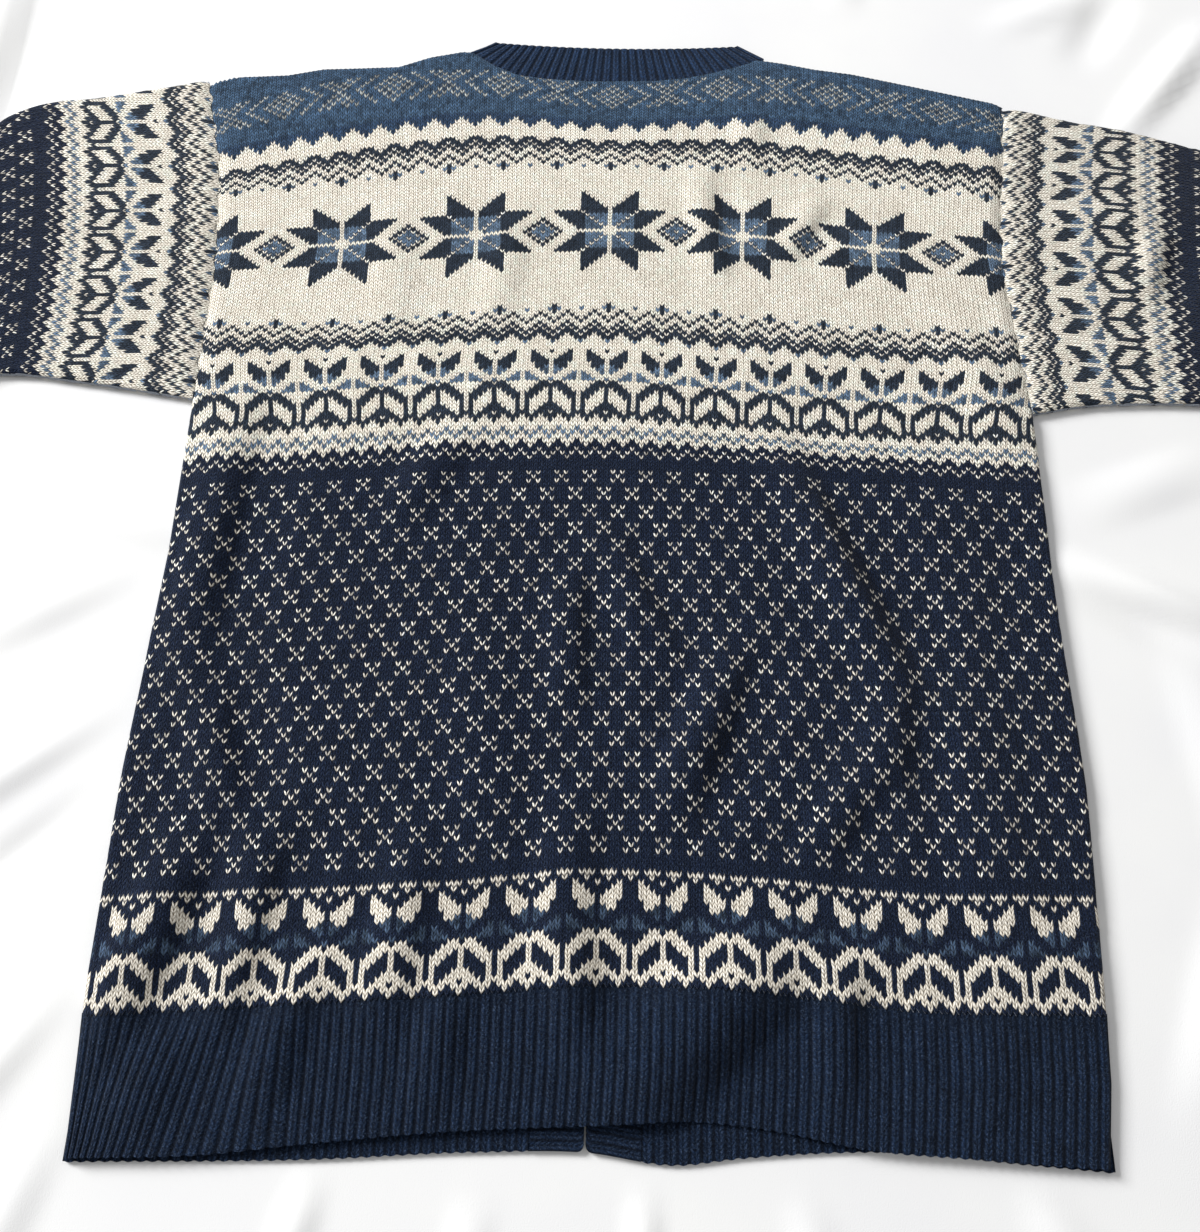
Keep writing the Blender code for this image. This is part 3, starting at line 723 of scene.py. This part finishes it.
leg = add("Math", {0: bulge(add("Math", {0: slanted}, operation="FRACT").outputs[0]), 1: 0.3},
          operation="POWER").outputs[0]
# painted shade: darker towards the furrows and along the middle of each rib, between the legs of its stitches
crest = add("MapRange", {"Value": from_middle, "From Min": 0.24, "From Max": 0.42,
                         "To Min": 1.0, "To Max": 0.18}).outputs[0]
centre_line = add("MapRange", {"Value": from_middle, "From Max": 0.15,
                               "To Min": 0.42, "To Max": 1.0}).outputs[0]
shape = add("Math", {0: add("Math", {0: leg, 1: crest}, operation="MULTIPLY").outputs[0], 1: centre_line},
            operation="MULTIPLY").outputs[0]
wool_data = add("Attribute", attribute_name="wool")
# painted shade down to 0.20 of the wool's colour, painted highlight up to 1.62
ribbed = add("MapRange", {"Value": shape, "To Min": 0.20, "To Max": 1.62}).outputs[0]
painted_shade = add("Mix", {"Factor": wool_data.outputs["Alpha"], "A": 0.72, "B": ribbed}).outputs[0]
fuzz_shade = add("MapRange", {"Value": fuzz, "From Min": 0.3, "From Max": 0.7,
                              "To Min": 0.40, "To Max": 1.75}).outputs[0]
drawn_out = add("Math", {0: split.outputs["Y"], 1: 0.14}, operation="MULTIPLY").outputs[0]
along_rib = add("CombineXYZ", {"X": split.outputs["X"], "Y": drawn_out}).outputs[0]
streak = add("TexNoise", {"Vector": along_rib, "Scale": 1.6, "Detail": 2.0}).outputs["Fac"]
blotch_shade = add("MapRange", {"Value": streak, "From Min": 0.3, "From Max": 0.7,
                                "To Min": 0.66, "To Max": 1.34}).outputs[0]
both = add("Math", {0: painted_shade, 1: fuzz_shade}, operation="MULTIPLY").outputs[0]
product = add("Math", {0: both, 1: blotch_shade}, operation="MULTIPLY").outputs[0]
shaded = add("VectorMath", {0: wool_data.outputs["Color"], "Scale": product}, operation="SCALE").outputs[0]
tinted = with_hairs_and_sheen(add, shaded, shape, (0.52, 0.68), 0.075, (0.15, 1.1))
finish_wool(rib_wool, tinted, shape, fuzz)

hem = ribbing("hem of back", BACK_RIBS, 24, back_hem_place, start=0.2)
piece("hem_of_back", [hem], rib_wool, "hem_back")


# ---------------------------------------------------------------------------------------------
# Fronts: two panels like the back, lying face down under it, open in the middle and cut out for
# the neck. Their rib hems are knitted on below.
# ---------------------------------------------------------------------------------------------
NECK_MIDDLE, NECK_HALF, FRONT_DROP, NECK_TOP = 2.5, 109.8, 90.8, 754
FRONT_RIB_TOP = 70.0
SLIT, SLIT_GAP, BAND_WIDTH, SEAM_GAP = -1.6, 2.0, 28.5, 0.3
FRONT_HEM = (
    (-271, -140, -60, 0, 45, 80, 150, 175, 210, 270),
    (-9, -5, 0, 1, -4, 0, 4.5, 4.5, 1.5, -2.5),
)


def front_top(x):
    """Upper edge of the fronts: the shoulder, then down round the neck."""
    reach = np.clip(1 - ((x - NECK_MIDDLE) / NECK_HALF) ** 2, 0, 1)
    return np.where(reach > 0, NECK_TOP - FRONT_DROP * np.sqrt(reach), np.interp(x, *BACK_TOP))


def front_edge(sign):
    """Where the panel meets its band."""
    return SLIT + sign * (SLIT_GAP / 2 + BAND_WIDTH + SEAM_GAP)


def front_place(sign):
    def place(c, n):
        x, y = body_point(c, n)
        left, right = smooth_sides(y)
        if sign > 0:
            left = np.full_like(x, front_edge(1))
        else:
            right = np.full_like(x, front_edge(-1))
        inside = (x > left) & (x < right)
        x = np.clip(x, left, right)
        top = front_top(x)
        inside &= (y < top) & (y > FRONT_RIB_TOP)
        return x, np.clip(y, FRONT_RIB_TOP, top), inside
    return place


def front_height(x, y):
    edge = side_distance(x, y)
    roll = np.where(y < ARMHOLE, np.clip(edge / EDGE_ROLL, 0, 1), 1)
    return (LAYER - EDGE_CLOTH) * (1 - np.sqrt(1 - (1 - roll) ** 2))


def front_hem_place(sign):
    def place(u, v):
        outer = -272 if sign < 0 else 273
        x = outer + (front_edge(sign) - sign * SEAM_GAP - outer) * u
        edge_wave = CAST_OFF_WAVE * np.cos(2 * math.pi * FRONT_RIBS * u) * (1 - v) ** 6
        y = soft(*FRONT_HEM, x) * (1 - v) + (FRONT_RIB_TOP + 0.5) * v + edge_wave
        return *level(x, y, np.full_like(x, LAYER / 2), -1), y
    return place


for side_name, sign, wales in (("left", -1, (-BACK_WALES, -8)), ("right", 1, (8, BACK_WALES))):
    panel = knitting("front " + side_name, wales, (-4, ROWS - 1), front_place(sign), front_height, LAYER,
                     body_yarn, down=True)
    piece("front_panel_" + side_name, [panel], stranded_wool, "front_" + side_name)
    hem = ribbing("front hem " + side_name, FRONT_RIBS, 12, front_hem_place(sign))
    piece("hem_of_front_" + side_name, [hem], rib_wool, "hem_front_" + side_name)


# ---------------------------------------------------------------------------------------------
# Front bands: two strips of rib, sewn to the front edges, their ribs running across the band.
# They meet edge to edge.
# ---------------------------------------------------------------------------------------------
BAND_RIBS = 128
SLIT_OPEN = 0.9       # the slit as it lies, almost closed
CORNER = 3.6          # round lower corner of each band


def band_place(sign):
    def place(u, v):
        inner = SLIT + sign * SLIT_OPEN / 2
        outer = SLIT + sign * (SLIT_GAP / 2 + BAND_WIDTH)
        x = inner + (outer - inner) * v ** 1.6         # rows closer together at the round corner
        corner = np.clip(1 - np.abs(x - inner) / CORNER, 0, 1)
        bottom = soft(*FRONT_HEM, x) + CORNER * (1 - np.sqrt(1 - corner ** 2))
        top = front_top(x) - 1
        y = bottom + (top - bottom) * u
        return *level(x, y, np.full_like(x, LAYER / 2), -1), x
    return place


for side_name, sign in (("left", -1), ("right", 1)):
    band = ribbing("band " + side_name, BAND_RIBS, 12, band_place(sign))
    piece("front_band_" + side_name, [band], rib_wool, "band_" + side_name)


# ---------------------------------------------------------------------------------------------
# Neckband: one strip of rib, picked up round the neck. From the slit it lies under the back of
# the neck, turns up at the shoulder and comes round on top.
# ---------------------------------------------------------------------------------------------
BAND_TOP_HALF, BAND_TOP, BAND_DROP, BACK_RISE = 90.5, 766.5, 73, -4
NECKBAND_WIDTH = 20
NECK_RIBS = 78


def neck_sections():
    """Seam edge, free edge and outward turn of the strip, from one end to the other."""
    rows = []
    for sign in (-1, 1):
        part = []
        first = math.asin((SLIT + sign * SLIT_GAP / 2 - NECK_MIDDLE) * sign / NECK_HALF)
        for turn in np.linspace(first, math.pi / 2, 40):
            aside, down = sign * math.sin(turn), math.cos(turn)
            seam = (NECK_MIDDLE + NECK_HALF * aside, NECK_TOP - FRONT_DROP * down)
            free = (NECK_MIDDLE + BAND_TOP_HALF * aside, BAND_TOP - BAND_DROP * down)
            part.append((*seam, *free, -90.0, sign))
        for angle in np.linspace(-75, 75, 11):
            part.append((*seam, *free, angle, sign))
        rows.append(part)
    back = []
    for share in np.linspace(0, 1, 60):
        x = NECK_MIDDLE + (2 * share - 1) * NECK_HALF
        seam = (x, float(np.interp(x, *BACK_TOP)) + 0.3)
        free = (NECK_MIDDLE + (2 * share - 1) * BAND_TOP_HALF, BAND_TOP + BACK_RISE * 4 * share * (1 - share))
        back.append((*seam, *free, 90.0, 0))
    return np.array(rows[0] + back + rows[1][::-1])


def neck_place(u, v):
    table = neck_sections()
    turn = LAYER / 2 + SEAM_GAP / 2
    angle = np.radians(table[:, 4])
    across = table[:, 2:4] - table[:, 0:2]
    across /= np.linalg.norm(across, axis=1)[:, None]
    outward = np.stack([-across[:, 1], across[:, 0]], -1) * np.where(table[:, 5] > 0, -1, 1)[:, None]
    outward[table[:, 5] == 0] = 0
    flat = np.cos(angle) * (np.abs(table[:, 4]) < 89)
    out = np.concatenate([outward * flat[:, None], np.sin(angle)[:, None]], 1)
    between = np.full((len(table), 1), LAYER + SEAM_GAP / 2)
    middle = np.concatenate([np.zeros((len(table), 2)), between], 1) + out * turn
    edges = []
    for columns in ((0, 1), (2, 3)):
        flat_edge = np.concatenate([table[:, columns], np.zeros((len(table), 1))], 1)
        edges.append(flat_edge + middle)
    halfway = (edges[0] + edges[1]) / 2
    length = np.concatenate([[0], np.cumsum(np.linalg.norm(np.diff(halfway, axis=0), axis=1))])
    at = u * length[-1]

    def along(values):
        return np.stack([np.interp(at, length, values[:, k]) for k in range(3)], -1)

    points = along(edges[0]) * (1 - v)[..., None] + along(edges[1]) * v[..., None]
    normals = along(out)
    normals /= np.linalg.norm(normals, axis=-1)[..., None]
    return points, normals, v * NECKBAND_WIDTH


neckband = ribbing("neckband", NECK_RIBS, 6, neck_place, wool="112239")
piece("neckband_strip", [neckband], rib_wool, "neckband")


# ---------------------------------------------------------------------------------------------
# Sleeves: tubes of stranded knitting, lying flat, sewn into the armholes. The bands of pattern
# are those of the back, met in the same order from the armhole outwards.
# ---------------------------------------------------------------------------------------------
SLEEVE_LINES = {
    # upper x, upper y, lower x, lower y of lines across the flattened sleeve, from the armhole
    "left": (
        (-300.5, 726, -272, 450), (-337, 717, -308, 456), (-380, 707, -350, 462), (-423, 699, -392, 467),
        (-440, 690, -404, 466.5), (-462, 667, -412, 464), (-502, 637, -420, 460),
    ),
    "right": (
        (288, 714, 281, 450), (330, 701, 315, 457), (373, 692, 356, 460), (414, 679, 395, 460),
        (445, 668, 413, 459), (487, 642, 423, 456),
    ),
}
ELBOWS = {"left": (-493.6, 525.6, 42), "right": (480, 535, 33)}      # place, and how far the arm drops
FOREARM = ((0, 190), (70, 170), (140, 150), (198, 136), (212, 106))     # from the elbow, width
CUFF_RIBS, SLEEVE_WALES_HALF = 22, 48      # on each layer, and to each side of its middle wale
CUFF = ((212.3, 104), (220, 100), (250, 100), (278, 106))
SLEEVE_FOLDS = (
    (-360, 640, 350, 90, 26, 2.2),
    (-450, 560, 60, 90, 20, 2.6),
    (352, 610, 190, 90, 26, 2.2),
    (374, 572, 70, 90, 16, 4.8),
    (396, 566, 70, 90, 16, -3.2),
    (460, 560, 120, 90, 20, 2.6),
)
FIRST_SLEEVE_COURSE = 160     # courses bow, so some past the armhole seam are knitted, and cut off there
SLEEVE_WALES = {      # how far each of these wales lies from the middle of the sleeve, towards the shoulder
    "left": ((-48, -36, -24, -12, 0, 12, 24, 36, 48), (-161, -125, -90, -55, -19, 17, 56, 98.5, 142)),
    "right": ((-48, -36, -24, -12, 0, 12, 24, 36, 48), (-166, -128, -90.5, -52, -13, 24, 60, 93, 126)),
}
SLEEVE_COURSES = {    # how far each of these courses lies from the armhole
    "left": ((26, 104, 109, 119, 128, 137, 144, 151), (362, 120, 105, 75.5, 54.5, 33.5, 19, -1)),
    "right": ((26, 104, 109, 119, 128, 137, 144, 151), (369, 126, 110.5, 77.5, 54, 31, 17.5, -1)),
}
SLEEVE_BOW = {"left": 9.0, "right": 4.5}      # how far the courses bow back, 100 from the middle


def lower_arm(side_name):
    """The elbow, the way on to the cuff, and the way across towards the shoulder."""
    x, y, bend = ELBOWS[side_name]
    sign = -1 if side_name == "left" else 1
    a = math.radians(bend)
    onward = np.array((sign * math.cos(a), -math.sin(a)))
    upwards = np.array((sign * math.sin(a), math.cos(a)))
    return np.array((x, y)), onward, upwards


def arm_lines(side_name, table):
    """Lines across the straight lower arm, from a table of distances and widths."""
    elbow, onward, upwards = lower_arm(side_name)
    lines = []
    for distance, width in table:
        middle = elbow + onward * distance
        lines.append((*(middle + upwards * width / 2), *(middle - upwards * width / 2)))
    return lines


def arm(side_name):
    """The sleeve's lines and how far along the arm each lies."""
    lines = np.array(list(SLEEVE_LINES[side_name]) + arm_lines(side_name, FOREARM))
    middles = (lines[:, :2] + lines[:, 2:]) / 2
    length = np.concatenate([[0], np.cumsum(np.linalg.norm(np.diff(middles, axis=0), axis=1))])
    return lines, length


def sleeve_place(side_name):
    lines, length = arm(side_name)
    armhole = 0 if side_name == "left" else 1

    def place(c, n):
        t = soft(*SLEEVE_WALES[side_name], c)
        along = soft(*SLEEVE_COURSES[side_name], n)
        fading = np.clip(1 - along / 420, 0, 1)
        along = along + SLEEVE_BOW[side_name] * (t / 100) ** 2 * fading * np.clip(along / 50, 0.1, 1)
        held = np.clip(along, 0, length[-1])
        upper = np.stack([soft(length, lines[:, k], held) for k in (0, 1)], -1)
        lower = np.stack([soft(length, lines[:, k], held) for k in (2, 3)], -1)
        middle, half = (upper + lower) / 2, (upper - lower) / 2
        reach = np.linalg.norm(half, axis=-1)
        inside = (np.abs(t) < reach) & (along > 0) & (along < length[-1])
        t = np.clip(t, -reach, reach)
        point = middle + half * (t / reach)[..., None]
        bow = sides(point[..., 1])[armhole] - np.interp(
            point[..., 1], (lines[0, 3], lines[0, 1]), (lines[0, 2], lines[0, 0]))
        return point[..., 0] + bow * np.clip(1 - held / 110, 0, 1) ** 2, point[..., 1], inside
    return place


OUTLINE_POINTS = 600


def sleeve_height(side_name, upper_layer):
    """Height of the sleeve's top or bottom layer. The two edges of the flattened tube are round."""
    lines, length = arm(side_name)
    way = np.arange(1, OUTLINE_POINTS + 1) * length[-1] / OUTLINE_POINTS
    outline = np.concatenate([
        np.stack([soft(length, lines[:, k], way), soft(length, lines[:, k + 1], way)], -1) for k in (0, 2)])

    def height(x, y):
        points = np.stack([x.ravel(), y.ravel()], -1)
        edge = np.full(len(points), 50.0)
        for start in range(0, len(outline), 40):
            block = outline[start:start + 40]
            near = np.sqrt(((points[:, None] - block[None]) ** 2).sum(-1)).min(1)
            edge = np.minimum(edge, near)
        edge = edge.reshape(x.shape)
        roll = np.clip(edge / EDGE_ROLL, 0, 1)
        drop = (LAYER - EDGE_CLOTH) * (1 - np.sqrt(1 - (1 - roll) ** 2))
        if not upper_layer:
            return drop
        seam_edge = np.abs(x - np.interp(y, SIDES[0], SIDES[1 if side_name == "left" else 2]))
        seam = np.where(y < ARMHOLE, 0, SEAM_DEPTH * np.clip(1 - seam_edge / SEAM_REACH, 0, 1) ** 1.5)
        return UPPER_HIGH - drop - seam + fold_lift(x, y, SLEEVE_FOLDS, edge, 2.2)
    return height


def sleeve_yarn(c, n):
    """The pattern of the back, with the small crosses carried on to the cuff."""
    return body_yarn(c, np.where(n < 96, 96 + (n - 96) % 8, np.where(n > 151, 156, n)))


def cuff_place(side_name, upper_layer):
    elbow, onward, upwards = lower_arm(side_name)
    distances, widths = zip(*CUFF)

    def place(u, v):
        along = distances[0] + (distances[-1] - distances[0]) * v
        across = (u - 0.5) * soft(distances, widths, along)
        middle = elbow + onward * along[..., None] + upwards * across[..., None]
        edge = (0.5 - np.abs(u - 0.5)) * 100
        drop = 1.2 * np.clip(1 - edge / EDGE_ROLL, 0, 1)
        z = UPPER_LOW + LAYER / 2 - drop if upper_layer else LAYER / 2 + drop
        return *level(middle[..., 0], middle[..., 1], z, 1 if upper_layer else -1), along
    return place


for side_name in ("left", "right"):
    layers = []
    for upper_layer in (True, False):
        inner_side = UPPER_LOW if upper_layer else LAYER
        layers.append(knitting(
            "sleeve " + side_name, (-SLEEVE_WALES_HALF, SLEEVE_WALES_HALF), (-14, FIRST_SLEEVE_COURSE),
            sleeve_place(side_name), sleeve_height(side_name, upper_layer), inner_side, sleeve_yarn,
            down=not upper_layer))
    piece("sleeve_tube_" + side_name, layers, stranded_wool, "sleeve_" + side_name)
    layers = [ribbing("cuff " + side_name, CUFF_RIBS, 14, cuff_place(side_name, upper_layer))
              for upper_layer in (True, False)]
    piece("cuff_tube_" + side_name, layers, rib_wool, "cuff_" + side_name)


# ---------------------------------------------------------------------------------------------
# Floor, light and camera: a white cotton sheet with soft folds, spread on the floor, daylight from
# one side as from a window, and a camera that looks down at the back.
# ---------------------------------------------------------------------------------------------
SHEET_FOLDS = (
    # x, y, heading in degrees, length, width, height
    (-448, 745, 87, 420, 26, -9.0),
    (-405, 800, 87, 160, 40, 3.0),
    (415, 745, 52, 190, 17, 7.0),
    (372, 800, 60, 120, 22, -3.5),
    (330, 812, 20, 120, 16, 3.0),
    (345, 322, 157, 170, 18, 6.5),
    (352, 296, 150, 150, 22, -3.5),
    (350, 400, 20, 130, 24, 2.6),
    (372, 210, 100, 230, 26, 3.0),
    (345, 80, 70, 170, 24, 3.2),
    (-300, 360, 165, 130, 20, 2.6),
    (-345, 300, 30, 150, 20, 2.6),
    (-352, 190, 38, 190, 16, 3.4),
    (-330, 150, 42, 130, 14, -2.0),
    (-330, 20, 55, 170, 16, 3.2),
    (-300, -40, 70, 130, 18, 2.8),
    (-150, -42, 72, 70, 14, 2.8),
    (-60, -50, 84, 60, 16, 2.2),
    (30, -44, 95, 60, 12, 2.6),
    (120, -48, 120, 70, 14, 2.2),
    (250, -45, 130, 90, 16, 2.8),
    (-420, 470, 80, 160, 22, 2.4),
    (180, 850, 80, 90, 22, 2.4),
    (-130, 850, 105, 90, 24, 2.4),
)
NEAR_SPREAD, FAR_SPREAD, SHEET_MIDDLE = 0.62, 3.38, 0.38     # in metres, as all below
floor_mesh = bpy.data.meshes.new("floor")
bm = bmesh.new()
bmesh.ops.create_grid(bm, x_segments=300, y_segments=300, size=1.0)
spots = np.array([vertex.co[:2] for vertex in bm.verts])
spots = spots * NEAR_SPREAD + FAR_SPREAD * spots ** 7     # close together near the garment, wide apart beyond
spots[:, 1] += SHEET_MIDDLE
heights = folds(spots[:, 0] * 1000, spots[:, 1] * 1000, SHEET_FOLDS) / 1000
across, up = np.abs(spots[:, 0]), spots[:, 1]
under_body = (across < 0.262) & (up > 0.02) & (up < 0.71)
under_sleeves = (across < 0.72) & (up > 0.49) & (up < 0.62)
heights = np.where(under_body | under_sleeves, np.minimum(heights, 0), heights)
for vertex, spot, rise in zip(bm.verts, spots, heights):
    vertex.co = (MIDDLE + spot[0], HEM + spot[1], rise)
for face in bm.faces:
    face.smooth = True
bm.to_mesh(floor_mesh)
bm.free()
sheet_cloth = bpy.data.materials.new("white cotton sheet")
sheet_cloth.use_nodes = True
add = nodes_for(sheet_cloth)
own_place = add("TexCoord").outputs["Object"]
cotton = add("TexNoise", {"Vector": own_place, "Scale": 9.0, "Detail": 3.0}).outputs["Fac"]
weave = add("TexNoise", {"Vector": own_place, "Scale": 1500.0, "Detail": 1.0}).outputs["Fac"]
clouds = add("MapRange", {"Value": cotton, "From Min": 0.3, "From Max": 0.7}).outputs[0]
white = add("Mix", {"Factor": clouds, "A": (*linear("eaeaeb"), 1), "B": (*linear("efefee"), 1)},
            data_type="RGBA").outputs["Result"]
bump = add("Bump", {"Height": weave, "Distance": 0.0002, "Strength": 0.5}).outputs[0]
sheet_shader = sheet_cloth.node_tree.nodes["Principled BSDF"]
sheet_cloth.node_tree.links.new(white, sheet_shader.inputs["Base Color"])
sheet_cloth.node_tree.links.new(bump, sheet_shader.inputs["Normal"])
sheet_shader.inputs["Roughness"].default_value = 0.9
floor_mesh.materials.append(sheet_cloth)
floor = bpy.data.objects.new("floor", floor_mesh)
bpy.context.scene.collection.objects.link(floor)

world = bpy.data.worlds.new("soft light")
bpy.context.scene.world = world
world.use_nodes = True
world.node_tree.nodes["Background"].inputs["Color"].default_value = (1, 1, 1, 1)
world.node_tree.nodes["Background"].inputs["Strength"].default_value = 0.44
bpy.context.scene.view_settings.view_transform = "Standard"      # colours as set, whites stay white


def lamp(name, place, aim, size, power):
    light = bpy.data.lights.new(name, "AREA")
    light.size = size
    light.energy = power
    obj = bpy.data.objects.new(name, light)
    bpy.context.scene.collection.objects.link(obj)
    obj.location = place
    obj.rotation_euler = (Vector(aim) - Vector(place)).to_track_quat("-Z", "Y").to_euler()


lamp("window", (-4.9, 2.45, 2.94), (0, 0.3, 0), 2.2, 600)

turn, pitch, reach = math.radians(1.23), math.radians(68), 0.739
LOOK_UP_THE_BACK = 0.303
SENSOR, IMAGE_WIDTH, IMAGE_HEIGHT = 36, 1200, 1232
look_at = np.array([MIDDLE, HEM + LOOK_UP_THE_BACK, 0.0])
forward = np.array([-math.cos(pitch) * math.sin(turn), math.cos(pitch) * math.cos(turn), -math.sin(pitch)])
camera_data = bpy.data.cameras.new("camera")
camera_data.lens = SENSOR * IMAGE_WIDTH / IMAGE_HEIGHT
camera_data.clip_start = 0.01
camera = bpy.data.objects.new("camera", camera_data)
bpy.context.scene.collection.objects.link(camera)
right = Vector((math.cos(turn), math.sin(turn), 0))
ahead = Vector(forward)
up = right.cross(ahead)
camera.matrix_world = Matrix.Translation(Vector(look_at - reach * forward)) @ Matrix(
    ((right.x, up.x, -ahead.x, 0), (right.y, up.y, -ahead.y, 0), (right.z, up.z, -ahead.z, 0), (0, 0, 0, 1)))
bpy.context.scene.camera = camera
